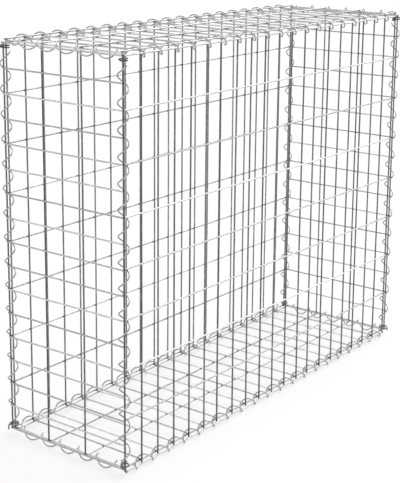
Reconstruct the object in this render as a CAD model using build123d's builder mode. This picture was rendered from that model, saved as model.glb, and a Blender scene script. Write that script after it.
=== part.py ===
from build123d import *
import math
import os

# Gabion basket of welded mesh, empty, with its lid laced shut.
# Six flat mesh panels meet along the twelve edges of a box. A spiral binder is screwed
# along every edge, round the edge wires of the two panels that meet there.
# Frame: +X along the basket, +Y across it, +Z up. The origin is on the floor, under the
# middle of the basket. Millimetres.

# Driving dimensions
basket_length = 1000.0  # along X, between the edge wires of a long wall
basket_depth = 300.0  # along Y, between the edge wires of an end
basket_height = 800.0  # along Z, between the edge wires of a wall
bay = 100.0  # nominal spacing of the coarse wires
wires_per_bay = 2  # fine wires in a bay, and turns of a spiral in a bay
mesh_wire = 3.5  # thickness of a panel's wires
spiral_wire = 3.0  # thickness of a spiral's wire
spiral_diameter = 25.0  # over the wire of a spiral
edge_clearance = 0.5  # between the edge wires of two panels that meet
row_stub = 5.0  # the rows of a panel run this far past its edge wire
seat_clearance = 0.3  # between a spiral and the two edge wires that it binds
turn_sides = 5  # straight lengths in one turn of a spiral
long_end_gap = 8.0  # a long spiral starts this far or more from the end of its edge
short_end_gap = 16.0  # the same on the others, which stop short of the long ones

# Bays of the mesh, shared by the panels and the spirals
length_bays = round(basket_length / bay)
depth_bays = round(basket_depth / bay)
height_bays = round(basket_height / bay)

# All wire is modelled as square bar with the section area of the round wire
bar_per_wire = math.sqrt(math.pi) / 2
mesh_bar = mesh_wire * bar_per_wire
spiral_bar = spiral_wire * bar_per_wire

# A panel stands this far outside the edge wire of the panel that it meets, and the rows
# lie against the outside of its uprights
panel_offset = mesh_wire + edge_clearance
row_offset = panel_offset + mesh_bar

# A turn is a polygon that encloses as much as the round turn does
coil_radius = (spiral_diameter - spiral_wire) / 2
side_angle = 2 * math.pi / turn_sides
turn_radius = coil_radius * math.sqrt(side_angle / math.sin(side_angle))

# Where a row of mesh wires lies in a turn, as the angle from the turn's outward corner.
# Each keeps the coil off the wires that it passes.
long_bottom_row = math.radians(180)
long_top_row = math.radians(324)
end_bottom_row = math.radians(150)
end_top_row = math.radians(210)
post_row = math.radians(210)

# One corner of the turn points outward, and the sides beside it press on the two edge
# wires. Each of these sides leans this much from the panel beside it.
side_lean = math.pi / 4 - side_angle / 2
clear_radius = turn_radius * math.cos(side_angle / 2) - spiral_bar / math.sqrt(2)
edge_wire_reach = mesh_bar / 2 * (math.cos(side_lean) + math.sin(side_lean))
seat_radius = clear_radius - seat_clearance - edge_wire_reach

# In a tight turn, the side after the one on wire b meets that wire too. It faces back across
# the edge, and leans this much from panel a.
next_lean = 3 * side_lean
next_wire_reach = mesh_bar / 2 * (math.cos(next_lean) + math.sin(next_lean))

right = Vector(1, 0, 0)
back = Vector(0, 1, 0)
up = Vector(0, 0, 1)

os.makedirs("parts", exist_ok=True)


def mesh_panel(face, width, rise, upright_gaps, row_gaps):
    """A welded panel: uprights run up the face, and rows are welded on their outside."""
    upright_foot = face.origin - face.y_dir * (rise + mesh_bar) / 2
    row_start = face.origin - face.x_dir * (width / 2 + row_stub) + face.z_dir * mesh_bar
    with BuildPart() as panel:
        with BuildSketch(Plane(upright_foot, x_dir=face.x_dir, z_dir=face.y_dir)):
            with GridLocations(width / upright_gaps, 0, upright_gaps + 1, 1):
                Rectangle(mesh_bar, mesh_bar)
        extrude(amount=rise + mesh_bar)
        with BuildSketch(Plane(row_start, x_dir=face.y_dir, z_dir=face.x_dir)):
            with GridLocations(rise / row_gaps, 0, row_gaps + 1, 1):
                Rectangle(mesh_bar, mesh_bar)
        extrude(amount=width + 2 * row_stub)
    return panel.part


def seat_offsets(reach_a, reach_b):
    """How far the axis lies outside the edge in the two directions, seated on both wires.

    Where the next side would press on a nearer wire b, the axis slides along wire a's side.
    """
    pull_a = reach_a * math.cos(side_lean) - seat_radius
    pull_b = reach_b * math.cos(side_lean) - seat_radius
    spread = math.cos(2 * side_lean)
    offset_a = (pull_a * math.cos(side_lean) - pull_b * math.sin(side_lean)) / spread
    offset_b = (pull_b * math.cos(side_lean) - pull_a * math.sin(side_lean)) / spread
    if reach_b < reach_a:
        next_pull = offset_a * math.cos(next_lean) + (reach_b - offset_b) * math.sin(next_lean)
        overlap = next_pull + next_wire_reach + seat_clearance - clear_radius
        slide = max(0, overlap) / math.sin(side_lean + next_lean)
        offset_a -= slide * math.sin(side_lean)
        offset_b += slide * math.cos(side_lean)
    return offset_a, offset_b


def spiral(edge, run, bays, end_gap, row_angle):
    """A right-handed coil, whose axis starts at the plane edge and runs along its z."""
    side_rise = run / bays / wires_per_bay / turn_sides
    row_corner = row_angle / side_angle
    first = math.ceil(end_gap / side_rise + row_corner)
    last = math.floor((run - end_gap) / side_rise + row_corner)
    points = []
    for corner in range(first, last + 1):
        x = turn_radius * math.cos(corner * side_angle)
        y = turn_radius * math.sin(corner * side_angle)
        points.append((x, y, (corner - row_corner) * side_rise))
    with BuildPart() as coil:
        with BuildLine(edge):
            path = Polyline(*points)
        with BuildSketch(Plane(path @ 0, x_dir=edge.z_dir.cross(path % 0), z_dir=path % 0)):
            Rectangle(spiral_bar, spiral_bar)
        sweep(path=path, transition=Transition.RIGHT)
    return coil.part


def edge_plane(side_a, side_b, reach_a, reach_b, along, run, foot):
    """The start of a spiral's axis, on the edge that faces out to side_a and side_b."""
    faces = side_a + side_b
    offset_a, offset_b = seat_offsets(reach_a, reach_b)
    edge_x = faces.X * basket_length / 2
    edge_y = faces.Y * basket_depth / 2
    edge_z = foot + (1 + faces.Z) * basket_height / 2
    middle = Vector(edge_x, edge_y, edge_z) + side_a * offset_a + side_b * offset_b
    return Plane(middle - along * (run / 2), x_dir=faces, z_dir=along)


def long_spiral(wall_side, level_side, foot):
    """Along the top or bottom of a long wall, round its outer row and the level's."""
    along = up.cross(wall_side)
    edge = edge_plane(
        wall_side, level_side, row_offset, row_offset, along, basket_length, foot
    )
    row_angle = long_top_row if level_side.Z > 0 else long_bottom_row
    return spiral(edge, basket_length, length_bays, long_end_gap, row_angle)


def end_spiral(end_side, level_side, foot):
    """Across the top or bottom of an end, round its outer row and the level's upright."""
    along = up.cross(end_side)
    edge = edge_plane(
        end_side, level_side, row_offset, panel_offset, along, basket_depth, foot
    )
    row_angle = end_top_row if level_side.Z > 0 else end_bottom_row
    return spiral(edge, basket_depth, depth_bays, short_end_gap, row_angle)


def post_spiral(wall_side, end_side, foot):
    """Up a corner of the basket, round the edge uprights of a wall and an end."""
    edge = edge_plane(
        wall_side, end_side, panel_offset, panel_offset, up, basket_height, foot
    )
    return spiral(edge, basket_height, height_bays, short_end_gap, post_row)


# The basket stands on its two lower long spirals, so they set the height of its foot
foot_height = -long_spiral(-back, -up, 0).bounding_box().min.Z
mid_height = foot_height + basket_height / 2

pieces = {}
for name, side in (("front", -back), ("back", back)):
    face = Plane(
        up * mid_height + side * (basket_depth / 2 + panel_offset),
        x_dir=up.cross(side),
        z_dir=side,
    )
    pieces[f"{name}_panel"] = mesh_panel(
        face, basket_length, basket_height, length_bays * wires_per_bay, height_bays
    )
for name, side in (("left", -right), ("right", right)):
    face = Plane(
        up * mid_height + side * (basket_length / 2 + panel_offset),
        x_dir=up.cross(side),
        z_dir=side,
    )
    pieces[f"{name}_panel"] = mesh_panel(
        face, basket_depth, basket_height, depth_bays, height_bays * wires_per_bay
    )
for name, side in (("base", -up), ("lid", up)):
    face = Plane(
        up * mid_height + side * (basket_height / 2 + panel_offset), x_dir=right, z_dir=side
    )
    pieces[f"{name}_panel"] = mesh_panel(
        face, basket_length, basket_depth, length_bays * wires_per_bay, depth_bays
    )

for level, level_side in (("bottom", -up), ("top", up)):
    for name, side in (("front", -back), ("back", back)):
        pieces[f"{name}_{level}_spiral"] = long_spiral(side, level_side, foot_height)
    for name, side in (("left", -right), ("right", right)):
        pieces[f"{name}_{level}_spiral"] = end_spiral(side, level_side, foot_height)
for wall_name, wall_side in (("front", -back), ("back", back)):
    for end_name, end_side in (("left", -right), ("right", right)):
        post = post_spiral(wall_side, end_side, foot_height)
        pieces[f"{wall_name}_{end_name}_spiral"] = post

for label, piece in pieces.items():
    piece.label = label
    export_step(piece, f"parts/{label}.step")
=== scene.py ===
import math

import bpy
import numpy as np
from mathutils import Matrix, Vector


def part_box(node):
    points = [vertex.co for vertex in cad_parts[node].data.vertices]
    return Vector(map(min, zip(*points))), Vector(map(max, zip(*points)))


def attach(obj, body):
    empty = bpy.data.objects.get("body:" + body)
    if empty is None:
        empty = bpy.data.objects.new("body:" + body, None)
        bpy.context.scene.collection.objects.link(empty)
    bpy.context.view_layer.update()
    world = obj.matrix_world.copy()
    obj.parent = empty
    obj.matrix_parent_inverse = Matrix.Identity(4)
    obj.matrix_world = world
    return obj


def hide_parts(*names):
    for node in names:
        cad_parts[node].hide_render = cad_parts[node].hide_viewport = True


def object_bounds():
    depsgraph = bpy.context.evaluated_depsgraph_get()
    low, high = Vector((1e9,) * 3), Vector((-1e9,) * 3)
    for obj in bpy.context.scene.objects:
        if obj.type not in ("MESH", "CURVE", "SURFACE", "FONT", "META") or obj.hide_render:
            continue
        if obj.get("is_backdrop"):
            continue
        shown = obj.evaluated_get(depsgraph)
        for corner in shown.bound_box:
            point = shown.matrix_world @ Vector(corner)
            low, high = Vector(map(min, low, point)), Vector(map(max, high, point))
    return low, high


# Looks for the gabion basket: round galvanised wire in place of the frame's square bar.
# Metres, in the frame's own axes: +X along the basket, +Y to the back, +Z up.

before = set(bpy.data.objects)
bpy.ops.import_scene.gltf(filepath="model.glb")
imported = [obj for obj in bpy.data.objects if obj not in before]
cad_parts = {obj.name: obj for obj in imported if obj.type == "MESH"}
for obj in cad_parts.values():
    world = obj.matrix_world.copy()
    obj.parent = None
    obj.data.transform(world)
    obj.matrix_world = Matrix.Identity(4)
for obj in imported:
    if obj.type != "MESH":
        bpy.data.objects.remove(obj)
cad_low, cad_high = (np.array(corner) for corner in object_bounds())

# Camera
camera_place = (-2.155, -1.596, 1.094)
camera_azimuth = math.radians(52.50)  # it looks this far round from +Y towards +X
camera_elevation = math.radians(12.49)  # and this far down
camera_roll = math.radians(0.51)
camera_sensor = 36.0  # millimetres, over the height of the picture
camera_lens = 91.67702  # millimetres
camera_shift = -0.152  # of the height of the picture

# Light
lamp_power = 1.9
lamp_spread = math.radians(60)  # how large the lamp looks, which softens its shadows
lamp_side = (0.66, -0.10, 0.74)  # where it stands, as a direction
world_light = 0.55  # the world's strength as a light, though it is seen at 1
floor_reach = 40.0  # from its middle to its sides
floor_grey = 0.34  # its own colour, which takes the shadow
floor_glow = 0.69  # added where it is seen, so that it comes out white

# Mesh wire
row_stub = 0.005  # the rows of a frame panel run this far past its edge wire
cut_stub = 0.001  # where they would run into another panel's wire, this far
wire_sides = 12
wire_step = 0.0125  # between the rings of a wire
end_bevel = 0.0004  # a cut end is rounded over this much
pitch_drift = 0.0006  # how far a wire is welded off its pitch
wander = 0.0005  # how far a wire bends off its own line, in the panel
sheet_bow = 0.0012  # how far a panel bows out of flat
bow_ripple = 0.25  # the share of the bow that comes and goes over the panel
lowest_wave = 0.6  # the least height of a soft curve's first wave, where the most is 1

# The gaps of each mesh, across and up
wall_gaps = (20, 8)
end_gaps = (3, 16)
level_gaps = (20, 3)
stray_uprights = ((6, -0.0050), (13, -0.0040))  # the front wall's, and how far off each is

# How the panels sit in their spirals
wall_inset = 0.004  # the long walls have slid in, behind the edge wires of the ends
end_reach = 0.004  # the ends reach this much further to each side
foot_drop = 0.007  # the front wall's foot hangs lower
base_rise = 0.0035  # the base has worked up
base_tuck = (0.0041, 0.0046)  # and lies inside the back and front walls
head_gap = 0.0008  # the long walls stop this much shorter, under the wires of the lid

# Welds
weld_width = 0.0026  # half the length of a weld's swelling
weld_height = 0.0014
weld_sides = 8
weld_rings = 5

# Spirals
coil_radius = 0.0102  # to the middle of the wire
coil_wire = 0.0015  # radius of the wire
coil_sides = 10
turn_steps = 36
turn_pitch = 0.05
coil_wobble = 0.0002  # how far the turns stray from a true coil
turn_drift = 0.06  # radians, how far they turn early or late

# Where each spiral is in its turn as it passes a crossing wire, in degrees from the
# outward diagonal
row_turns = {
    "front_bottom": 180,
    "back_bottom": 180,
    "front_top": 90,
    "back_top": 284,
    "left_bottom": 6,
    "right_bottom": 84,
    "left_top": 38,
    "right_top": 38,
    "front_left": 168,
    "front_right": 292,
    "back_left": 292,
    "back_right": 176,
}

# Ties: spiral wire wound round the two posts of each corner, with one end left out
tie_reach = (0.0088, 0.0074)  # half its length and width, to the middle of the wire
tie_flare = 0.3  # the turn before the free end opens out by this share
tie_turns = 1.6
tie_climb = 0.0042  # in a turn
tie_level = 0.0042  # it starts this far inside the end's outermost row
tie_tip = 0.008  # the free end
tip_lean = (0.95, -0.3)  # its direction, out past the row and beside the corner
tie_steps = 54
tip_steps = 5

# The place of each kind of wire in its piece's list of materials
upright_kind, row_kind, weld_kind = range(3)
coil_kind, tie_kind = range(2)

# Finishes of the wires. rough holds the roughness where the zinc is clean, and where it is
# dull and has its bloom. lines is how deep the lines are that were drawn along the wire.
finishes = {
    # Painted shade: a darker copy of the zinc for the walls' uprights and the ties, which catch
    # no highlight
    "painted_shade_zinc": {
        "clean": (0.16, 0.165, 0.17),
        "dull": (0.10, 0.105, 0.11),
        "bloom": (0.26, 0.26, 0.26),
        "rough": (0.38, 0.55),
        "lines": 0.8,
    },
    # The lit copy of the same zinc, near its own colour
    "lit_zinc": {
        "clean": (0.52, 0.525, 0.53),
        "dull": (0.38, 0.385, 0.39),
        "bloom": (0.66, 0.66, 0.66),
        "rough": (0.25, 0.4),
        "lines": 0.8,
    },
    # Dark: partly the weld's own zinc, and partly painted shade where the two wires cross
    "weld_zinc_and_shade": {
        "clean": (0.10, 0.10, 0.10),
        "dull": (0.06, 0.06, 0.062),
        "bloom": (0.17, 0.17, 0.17),
        "rough": (0.5, 0.7),
        "lines": 0.1,
    },
    "spiral_zinc": {
        "clean": (0.44, 0.445, 0.45),
        "dull": (0.30, 0.305, 0.31),
        "bloom": (0.58, 0.58, 0.58),
        "rough": (0.25, 0.4),
        "lines": 1.0,
    },
}
zinc_metal = 0.85  # the rest is oxide
bloom_cover = 0.6  # how much of the colour under it a patch of bloom hides
line_run = 0.02  # how fast the drawn lines change along the wire, against round it
bump_strength = 0.35
bump_depth = 0.0002

# Painted light: each panel's uprights and rows are painted this much lighter or darker, for the
# highlights and reflections that the light gives them
painted_light_tones = {
    "front_panel": (1.3, 1.15),
    "back_panel": (1.75, 0.9),
    "left_panel": (1.05, 1.15),
    "right_panel": (1.5, 1.15),
    "base_panel": (1.4, 0.88),
    "lid_panel": (1.25, 0.9),
}
# The ties take the zinc painted darker as shade in their knots, and are lifted this much from it
tie_painted_shade_level = 1.2
tone_spread = 0.2  # from wire to wire
tone_step = 2.4  # radians from one wire's tone to the next, so that neighbours differ
wire_apart = 3.1  # each wire takes its pattern this much further on
weld_apart = 0.37

rng_seed = 7


# ---------------------------------------------------------------- camera and light


def add_camera():
    forward = Vector(
        (
            math.sin(camera_azimuth) * math.cos(camera_elevation),
            math.cos(camera_azimuth) * math.cos(camera_elevation),
            -math.sin(camera_elevation),
        )
    )
    level = Vector((math.cos(camera_azimuth), -math.sin(camera_azimuth), 0))
    over = level.cross(forward)
    right = level * math.cos(camera_roll) + over * math.sin(camera_roll)
    up = over * math.cos(camera_roll) - level * math.sin(camera_roll)
    turn = Matrix((right, up, -forward)).transposed().to_4x4()
    data = bpy.data.cameras.new("camera")
    data.sensor_width = camera_sensor
    data.lens = camera_lens
    data.shift_y = camera_shift
    camera = bpy.data.objects.new("camera", data)
    camera.matrix_world = Matrix.Translation(camera_place) @ turn
    bpy.context.scene.collection.objects.link(camera)
    bpy.context.scene.camera = camera


def add_softbox():
    """One large soft lamp, high up. The camera has it on the right, behind the basket."""
    data = bpy.data.lights.new("softbox", "SUN")
    data.energy = lamp_power
    data.angle = lamp_spread
    lamp = bpy.data.objects.new("softbox", data)
    lamp.rotation_euler = Vector(lamp_side).to_track_quat("Z", "Y").to_euler()
    bpy.context.scene.collection.objects.link(lamp)


# ---------------------------------------------------------------- shader helpers


class Nodes:
    """A short way to write a node tree."""

    def __init__(self, tree):
        tree.nodes.clear()
        self.tree = tree

    def add(self, kind, **settings):
        node = self.tree.nodes.new(kind)
        for key, value in settings.items():
            setattr(node, key, value)
        return node

    def link(self, start, end):
        self.tree.links.new(start, end)

    def put(self, socket, value):
        if isinstance(value, bpy.types.NodeSocket):
            self.link(value, socket)
        else:
            socket.default_value = value

    def noise(self, vector, scale, detail, roughness):
        node = self.add("ShaderNodeTexNoise")
        self.put(node.inputs["Vector"], vector)
        node.inputs["Scale"].default_value = scale
        node.inputs["Detail"].default_value = detail
        node.inputs["Roughness"].default_value = roughness
        return node.outputs["Fac"]

    def stretch(self, vector, scale):
        node = self.add("ShaderNodeMapping")
        self.put(node.inputs["Vector"], vector)
        node.inputs["Scale"].default_value = scale
        return node.outputs["Vector"]

    def times(self, vector, factor):
        node = self.add("ShaderNodeVectorMath", operation="SCALE")
        self.put(node.inputs[0], vector)
        self.put(node.inputs["Scale"], factor)
        return node.outputs["Vector"]

    def remap(self, value, low, high, to_low=0, to_high=1):
        node = self.add("ShaderNodeMapRange")
        self.put(node.inputs["Value"], value)
        for key, number in (
            ("From Min", low),
            ("From Max", high),
            ("To Min", to_low),
            ("To Max", to_high),
        ):
            node.inputs[key].default_value = number
        return node.outputs["Result"]

    def mix_colour(self, factor, a, b):
        node = self.add("ShaderNodeMix", data_type="RGBA")
        self.put(node.inputs[0], factor)
        self.put(node.inputs[6], a)
        self.put(node.inputs[7], b)
        return node.outputs[2]

    def math(self, operation, a, b):
        node = self.add("ShaderNodeMath", operation=operation)
        self.put(node.inputs[0], a)
        self.put(node.inputs[1], b)
        return node.outputs[0]

    def seen(self):
        """1 for the camera, in reflections and through clear things, and 0 for other light."""
        paths = self.add("ShaderNodeLightPath").outputs
        direct = self.math("MAXIMUM", paths["Is Camera Ray"], paths["Is Glossy Ray"])
        return self.math("MAXIMUM", direct, paths["Is Transmission Ray"])


def zinc(name, clean, dull, bloom, rough, lines):
    """Galvanised wire: mottled zinc, faint drawn lines along it, and a pale bloom in patches."""
    material = bpy.data.materials.new(name)
    material.use_nodes = True
    n = Nodes(material.node_tree)
    along = n.add("ShaderNodeAttribute", attribute_name="along_wire").outputs["Vector"]
    tone = n.add("ShaderNodeAttribute", attribute_name="tone_and_painted_light").outputs["Fac"]

    mottle = n.noise(along, scale=260, detail=3.0, roughness=0.6)
    mottle = n.remap(mottle, low=0.35, high=0.65)
    patches = n.noise(along, scale=38, detail=2.0, roughness=0.5)
    patches = n.remap(patches, low=0.52, high=0.68)
    drawn = n.noise(n.stretch(along, (1, 1, line_run)), scale=2200, detail=2.0, roughness=0.6)
    pits = n.noise(along, scale=1500, detail=3.0, roughness=0.7)

    colour = n.mix_colour(mottle, (*clean, 1), (*dull, 1))
    colour = n.mix_colour(n.math("MULTIPLY", patches, bloom_cover), colour, (*bloom, 1))
    roughness = n.remap(n.math("ADD", mottle, patches), 0, 2, *rough)

    bump = n.add("ShaderNodeBump")
    bump.inputs["Strength"].default_value = bump_strength
    bump.inputs["Distance"].default_value = bump_depth
    n.link(n.math("ADD", n.math("MULTIPLY", drawn, lines), pits), bump.inputs["Height"])

    shader = n.add("ShaderNodeBsdfPrincipled")
    shader.inputs["Metallic"].default_value = zinc_metal
    # The colour is scaled for each wire: partly the zinc's own spread, partly painted light
    n.link(n.times(colour, tone), shader.inputs["Base Color"])
    n.link(roughness, shader.inputs["Roughness"])
    n.link(bump.outputs["Normal"], shader.inputs["Normal"])
    out = n.add("ShaderNodeOutputMaterial")
    n.link(shader.outputs["BSDF"], out.inputs["Surface"])
    return material


# ---------------------------------------------------------------- wire meshes


def unit(vectors):
    return vectors / np.linalg.norm(vectors, axis=-1, keepdims=True)


def follow(path, first_normal):
    """A path's length up to each of its points, its direction there and two across it."""
    runs = np.diff(path, axis=0)
    station = np.concatenate([[0], np.cumsum(np.linalg.norm(runs, axis=1))])
    runs = unit(runs)
    tangent = unit(np.vstack([runs[:1], runs[:-1] + runs[1:], runs[-1:]]))
    normal = np.empty_like(path)
    last = first_normal
    for i, direction in enumerate(tangent):
        last = unit(last - direction * (last @ direction))
        normal[i] = last
    return station, tangent, normal, np.cross(tangent, normal)


def ring_faces(rings, sides):
    """The faces that join rings of points into a closed tube."""
    faces = []
    for a in range(0, (rings - 1) * sides, sides):
        b = a + sides
        for k in range(sides):
            m = (k + 1) % sides
            faces.append((a + k, a + m, b + m, b + k))
    faces.append(tuple(reversed(range(sides))))
    faces.append(tuple(range((rings - 1) * sides, rings * sides)))
    return faces


class Wires:
    """Collects tubes and welds, and makes one mesh of them."""

    def __init__(self):
        self.points, self.along, self.tones, self.faces, self.kinds = [], [], [], [], []
        self.count = 0
        self.serial = 0

    def add(self, points, along, faces, kind, tone=1.0):
        # What comes in is painted light for the panel's uprights or rows; the spread from wire
        # to wire added here is the zinc's own
        tone *= 1 + tone_spread * math.sin(tone_step * self.serial)
        self.points.append(points)
        self.along.append(along)
        self.tones.append(np.full(len(points), tone))
        self.faces += [tuple(self.count + i for i in face) for face in faces]
        self.kinds += [kind] * len(faces)
        self.count += len(points)

    def tube(self, path, radius, sides, first_normal, kind, tone=1.0):
        """A round wire along a path of points, with its cut ends rounded over."""
        station, tangent, normal, binormal = follow(path, first_normal)
        # One more ring past each end, a little smaller, rounds the cut over
        stops = [0, *range(len(path)), -1]
        past = np.zeros(len(stops))
        past[[0, -1]] = (-end_bevel, end_bevel)
        centres = path[stops] + tangent[stops] * past[:, None]
        radii = radius - abs(past)

        turn = np.arange(sides)[:, None] * 2 * math.pi / sides
        c, s = np.cos(turn), np.sin(turn)
        spokes = normal[stops][:, None] * c + binormal[stops][:, None] * s
        rings = centres[:, None] + radii[:, None, None] * spokes
        self.serial += 1
        along = np.empty_like(rings)
        along[:, :, :2] = radius * np.hstack([c, s])
        along[:, :, 2] = (station[stops] + past)[:, None] + self.serial * wire_apart
        faces = ring_faces(len(stops), sides)
        self.add(rings.reshape(-1, 3), along.reshape(-1, 3), faces, kind, tone)

    def weld(self, centre, run, across, out):
        """The swelling where two wires were pressed and welded together."""
        tilt = math.pi * (np.arange(weld_rings)[:, None, None] + 0.5) / weld_rings
        turn = 2 * math.pi * np.arange(weld_sides)[:, None] / weld_sides
        spokes = run * np.cos(turn) + across * np.sin(turn)
        swelling = weld_width * np.sin(tilt) * spokes + weld_height * np.cos(tilt) * out
        swelling = swelling.reshape(-1, 3)
        # Its rings run inwards, so each face is turned over
        faces = [face[::-1] for face in ring_faces(weld_rings, weld_sides)]
        self.serial += 1
        self.add(centre + swelling, swelling + self.serial * weld_apart, faces, weld_kind)

    def mesh(self, name, materials):
        data = bpy.data.meshes.new(name)
        data.from_pydata(np.concatenate(self.points).tolist(), [], self.faces)
        along = data.attributes.new("along_wire", "FLOAT_VECTOR", "POINT")
        along.data.foreach_set("vector", np.concatenate(self.along).astype(np.float32).ravel())
        tones = data.attributes.new("tone_and_painted_light", "FLOAT", "POINT")
        tones.data.foreach_set("value", np.concatenate(self.tones).astype(np.float32))
        for material in materials:
            data.materials.append(material)
        data.polygons.foreach_set("material_index", np.array(self.kinds, np.int32))
        data.polygons.foreach_set("use_smooth", np.array([len(f) == 4 for f in self.faces]))
        data.update()
        piece = bpy.data.objects.new(name, data)
        bpy.context.scene.collection.objects.link(piece)
        return piece


def soft_curve(rng, size, waves=3):
    """A smooth random line that a wire follows, as a function of its length from 0 to 1."""
    parts = []
    for wave in range(1, waves + 1):
        parts.append((rng.uniform(lowest_wave, 1) / wave, rng.uniform(0, 2 * math.pi), wave))
    total = sum(height for height, phase, wave in parts)

    def at(t):
        line = sum(h * np.sin(math.pi * wave * t + phase) for h, phase, wave in parts)
        return size / total * line

    return at


# ---------------------------------------------------------------- panels


class Sheet:
    """The bowed sheet in which a panel's wires lie. A place in it is u across and v up from
    its middle."""

    def __init__(self, node, out, across, inset, rng):
        low, high = (np.array(corner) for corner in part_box(node))
        span = high - low
        self.out, self.across, self.rise = out, across, np.cross(out, across)
        self.middle = (low + high) / 2 - out * inset
        self.bar = abs(span @ out) / 2
        self.width = abs(span @ across) - 2 * row_stub
        self.height = abs(span @ self.rise) - self.bar
        self.bow_u, self.bow_v = soft_curve(rng, 1, waves=2), soft_curve(rng, 1, waves=2)

    def bow(self, u, v):
        """How far it lies out of flat, which is nothing at its edges."""
        s, t = np.clip(u / self.width + 0.5, 0, 1), np.clip(v / self.height + 0.5, 0, 1)
        edge = np.sin(math.pi * s) * np.sin(math.pi * t)
        ripple = 1 - bow_ripple + bow_ripple * self.bow_u(s) * self.bow_v(t)
        return -sheet_bow * edge * ripple

    def place(self, u, v, layer):
        """The points at these places, and this far outside the sheet."""
        return (
            self.middle
            + np.outer(np.atleast_1d(u), self.across)
            + np.outer(np.atleast_1d(v), self.rise)
            + np.outer(np.atleast_1d(self.bow(u, v) + layer), self.out)
        )


def wire_places(rng, size, gaps, grow_first, grow_last):
    """Where a panel's wires lie, in one direction. The two edge wires lie further out."""
    places = np.linspace(-size / 2, size / 2, gaps + 1)
    places[1:-1] += rng.uniform(-pitch_drift, pitch_drift, gaps - 1)
    places[[0, -1]] += (-grow_first, grow_last)
    return places


def wire_run(crossed, stub, size):
    """The points along a wire that crosses others, as shares of its length and as places."""
    share = np.linspace(0, 1, round(size / wire_step) + 1)
    end = stub - end_bevel
    return share, crossed[0] - end + share * (crossed[-1] - crossed[0] + 2 * end)


def panel(
    node, out, across, gaps, rng, materials,
    inset=0, side_grow=0, foot_grow=0, head_grow=0, stub=cut_stub, strays=(),
):
    """A welded panel in place of a frame panel. out is the outward direction, across the rows'
    own. It lies inset from the frame's, and its edge wires lie further out by what they grow."""
    sheet = Sheet(node, out, across, inset, rng)
    uprights = wire_places(rng, sheet.width, gaps[0], side_grow, side_grow)
    rows = wire_places(rng, sheet.height, gaps[1], foot_grow, head_grow)
    for number, shift in strays:
        uprights[number] += shift
    upright_bends = [soft_curve(rng, wander) for _ in uprights]
    row_bends = [soft_curve(rng, wander) for _ in rows]

    wires = Wires()
    radius = sheet.bar / math.sqrt(math.pi)
    # Painted light: the panel's uprights and rows are painted lighter or darker
    upright_painted_light, row_painted_light = painted_light_tones[node]
    share, run = wire_run(rows, sheet.bar / 2, sheet.height)
    for u, bend in zip(uprights, upright_bends):
        path = sheet.place(u + bend(share), run, -sheet.bar / 2)
        wires.tube(path, radius, wire_sides, out, upright_kind, upright_painted_light)
    share, run = wire_run(uprights, stub, sheet.width)
    for v, bend in zip(rows, row_bends):
        path = sheet.place(run, v + bend(share), sheet.bar / 2)
        wires.tube(path, radius, wire_sides, out, row_kind, row_painted_light)
    for u, upright_bend in zip(uprights, upright_bends):
        for v, row_bend in zip(rows, row_bends):
            bent_u = u + upright_bend(v / sheet.height + 0.5)
            bent_v = v + row_bend(u / sheet.width + 0.5)
            wires.weld(sheet.place(bent_u, bent_v, 0)[0], across, sheet.rise, out)
    piece = wires.mesh(f"{node}_wires", materials)
    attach(piece, "root")
    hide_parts(node)


# ---------------------------------------------------------------- spirals


def frame_bar(node, out_axis):
    """The thickness of a frame panel's bars, which lie two deep."""
    low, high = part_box(node)
    return (high[out_axis] - low[out_axis]) / 2


def coil_axis(side_a, side_b):
    """The line on which a coil between two sides just fits in the frame's box."""
    room = coil_radius + coil_wire + 3 * coil_wobble
    reach = [max(side @ cad_low, side @ cad_high) - room for side in (side_a, side_b)]
    return side_a * reach[0] + side_b * reach[1]


def grid_start(along):
    """Where the first crossing wire lies on an edge that runs this way."""
    if along[2]:
        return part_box("front_panel")[0][2] + frame_bar("front_panel", 1) / 2
    node, side = ("front_panel", 0) if along[0] else ("left_panel", 1)
    return row_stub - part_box(node)[1][side]


def coil_path(node, side_a, side_b, along, row_turn, rng):
    """A round right-handed coil along a frame spiral's edge."""
    low, high = (np.array(corner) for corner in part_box(node))
    diagonal = (side_a + side_b) / math.sqrt(2)
    beside = np.cross(along, diagonal)
    first, last = sorted((low @ along, high @ along))
    steps = round((last - first) / turn_pitch * turn_steps)
    z = np.linspace(first, last, steps)
    t = np.linspace(0, 1, steps)
    turn = math.radians(row_turn) + 2 * math.pi * (z - grid_start(along)) / turn_pitch
    turn += soft_curve(rng, turn_drift, waves=6)(t)
    reach = coil_radius + soft_curve(rng, coil_wobble, waves=9)(t)
    sway_a = soft_curve(rng, coil_wobble, waves=7)(t)
    sway_b = soft_curve(rng, coil_wobble, waves=7)(t)
    return (
        coil_axis(side_a, side_b)
        + np.outer(z, along)
        + np.outer(reach * np.cos(turn) + sway_a, diagonal)
        + np.outer(reach * np.sin(turn) + sway_b, beside)
    )


def between_posts(wall_side, end_side):
    """The point on the floor midway between the two posts of a corner."""
    middle = np.zeros(3)
    for side, node in ((wall_side, "left_panel"), (end_side, "front_panel")):
        middle += side * (abs(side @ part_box(node)[0]) - row_stub + end_reach / 2)
    return middle


def tie_path(wall_side, end_side, level_side):
    """A turn and a half round the two posts of a corner, and a free end that sticks out."""
    last_row = max(level_side @ corner for corner in np.array(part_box("left_panel")))
    start = last_row - frame_bar("left_panel", 0) / 2 - tie_level
    corner = (wall_side + end_side) / math.sqrt(2)
    beside = np.cross(level_side, corner)
    turn = np.linspace(0, 2 * math.pi * tie_turns, tie_steps)
    flare = 1 + tie_flare * np.clip(1 - turn / math.pi, 0, 1) ** 2
    loop = (
        between_posts(wall_side, end_side)
        + np.outer(tie_reach[0] * flare * np.cos(turn), corner)
        + np.outer(tie_reach[1] * flare * np.sin(turn), beside)
        + np.outer(start - tie_climb * turn / (2 * math.pi), level_side)
    )
    lean = level_side * tip_lean[0] + beside * tip_lean[1]
    tip = loop[0] + np.outer(np.linspace(1, 1 / tip_steps, tip_steps) * tie_tip, lean)
    return np.vstack([tip, loop])


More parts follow.
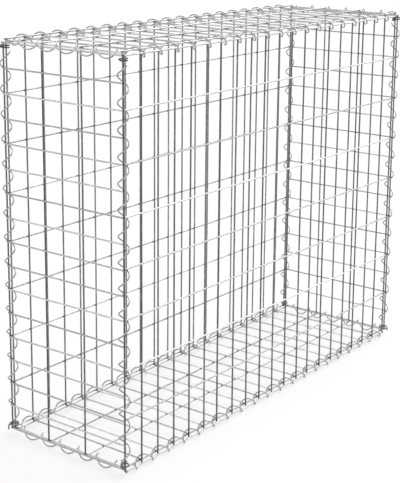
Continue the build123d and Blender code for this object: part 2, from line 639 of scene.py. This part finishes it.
def spiral(name, side_a, side_b, row_turn, rng, materials):
    """A frame spiral's coil, and on the upright ones, the ties at its two corners."""
    up = np.array((0, 0, 1.0))
    upright = side_b[2] == 0
    along = up if upright else np.cross(up, side_a)
    wires = Wires()
    path = coil_path(f"{name}_spiral", side_a, side_b, along, row_turn, rng)
    wires.tube(path, coil_wire, coil_sides, along, coil_kind)
    for level_side in (up, -up) if upright else ():
        path = tie_path(side_a, side_b, level_side)
        wires.tube(path, coil_wire, coil_sides, up, tie_kind, tie_painted_shade_level)
    piece = wires.mesh(f"{name}_spiral_wire", materials)
    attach(piece, "root")
    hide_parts(f"{name}_spiral")


# ---------------------------------------------------------------- stage


def white_floor():
    """White for the camera and in reflections, with the basket's shadow left in it."""
    material = bpy.data.materials.new("white_floor")
    material.use_nodes = True
    n = Nodes(material.node_tree)
    diffuse = n.add("ShaderNodeBsdfDiffuse")
    diffuse.inputs["Color"].default_value = (floor_grey, floor_grey, floor_grey, 1)
    glow = n.add("ShaderNodeEmission")
    glow.inputs["Color"].default_value = (1, 1, 1, 1)
    n.link(n.math("MULTIPLY", n.seen(), floor_glow), glow.inputs["Strength"])
    both = n.add("ShaderNodeAddShader")
    n.link(diffuse.outputs[0], both.inputs[0])
    n.link(glow.outputs[0], both.inputs[1])
    out = n.add("ShaderNodeOutputMaterial")
    n.link(both.outputs[0], out.inputs["Surface"])
    return material


def add_floor():
    data = bpy.data.meshes.new("floor")
    r = floor_reach
    data.from_pydata([(-r, -r, 0), (r, -r, 0), (r, r, 0), (-r, r, 0)], [], [(0, 1, 2, 3)])
    data.materials.append(white_floor())
    floor = bpy.data.objects.new("floor", data)
    bpy.context.scene.collection.objects.link(floor)
    floor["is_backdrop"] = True


def add_world():
    """White for the camera and in reflections, and less strong as a light."""
    world = bpy.data.worlds.new("studio")
    bpy.context.scene.world = world
    world.use_nodes = True
    n = Nodes(world.node_tree)
    background = n.add("ShaderNodeBackground")
    background.inputs["Color"].default_value = (1, 1, 1, 1)
    n.link(n.remap(n.seen(), 0, 1, world_light, 1), background.inputs["Strength"])
    out = n.add("ShaderNodeOutputWorld")
    n.link(background.outputs[0], out.inputs["Surface"])


# ---------------------------------------------------------------- the basket


def build():
    rng = np.random.default_rng(rng_seed)
    zincs = {name: zinc(name, **finish) for name, finish in finishes.items()}
    # The walls' uprights take the zinc painted darker as shade; their rows and all wires of the
    # lid and base take the lit zinc
    wall = [zincs["painted_shade_zinc"], zincs["lit_zinc"], zincs["weld_zinc_and_shade"]]
    level = [zincs["lit_zinc"], zincs["lit_zinc"], zincs["weld_zinc_and_shade"]]
    # The ties take the zinc painted darker, for the shade in their knots
    binder = [zincs["spiral_zinc"], zincs["painted_shade_zinc"]]
    x, y, z = np.eye(3)
    panel(
        "front_panel", -y, x, wall_gaps, rng, wall,
        inset=wall_inset, foot_grow=foot_drop, head_grow=-head_gap, strays=stray_uprights,
    )
    panel("back_panel", y, -x, wall_gaps, rng, wall, inset=wall_inset, head_grow=-head_gap)
    panel("left_panel", -x, -y, end_gaps, rng, wall, side_grow=end_reach)
    panel("right_panel", x, y, end_gaps, rng, wall, side_grow=end_reach)
    panel(
        "base_panel", -z, x, level_gaps, rng, level,
        inset=base_rise, foot_grow=-base_tuck[0], head_grow=-base_tuck[1],
    )
    panel("lid_panel", z, x, level_gaps, rng, level, stub=row_stub)

    sides = {"front": -y, "back": y, "left": -x, "right": x, "bottom": -z, "top": z}
    for name, row_turn in row_turns.items():
        side_a, side_b = (sides[word] for word in name.split("_"))
        spiral(name, side_a, side_b, row_turn, rng, binder)


bpy.context.scene.view_settings.view_transform = "Standard"
add_camera()
add_world()
add_floor()
add_softbox()
build()
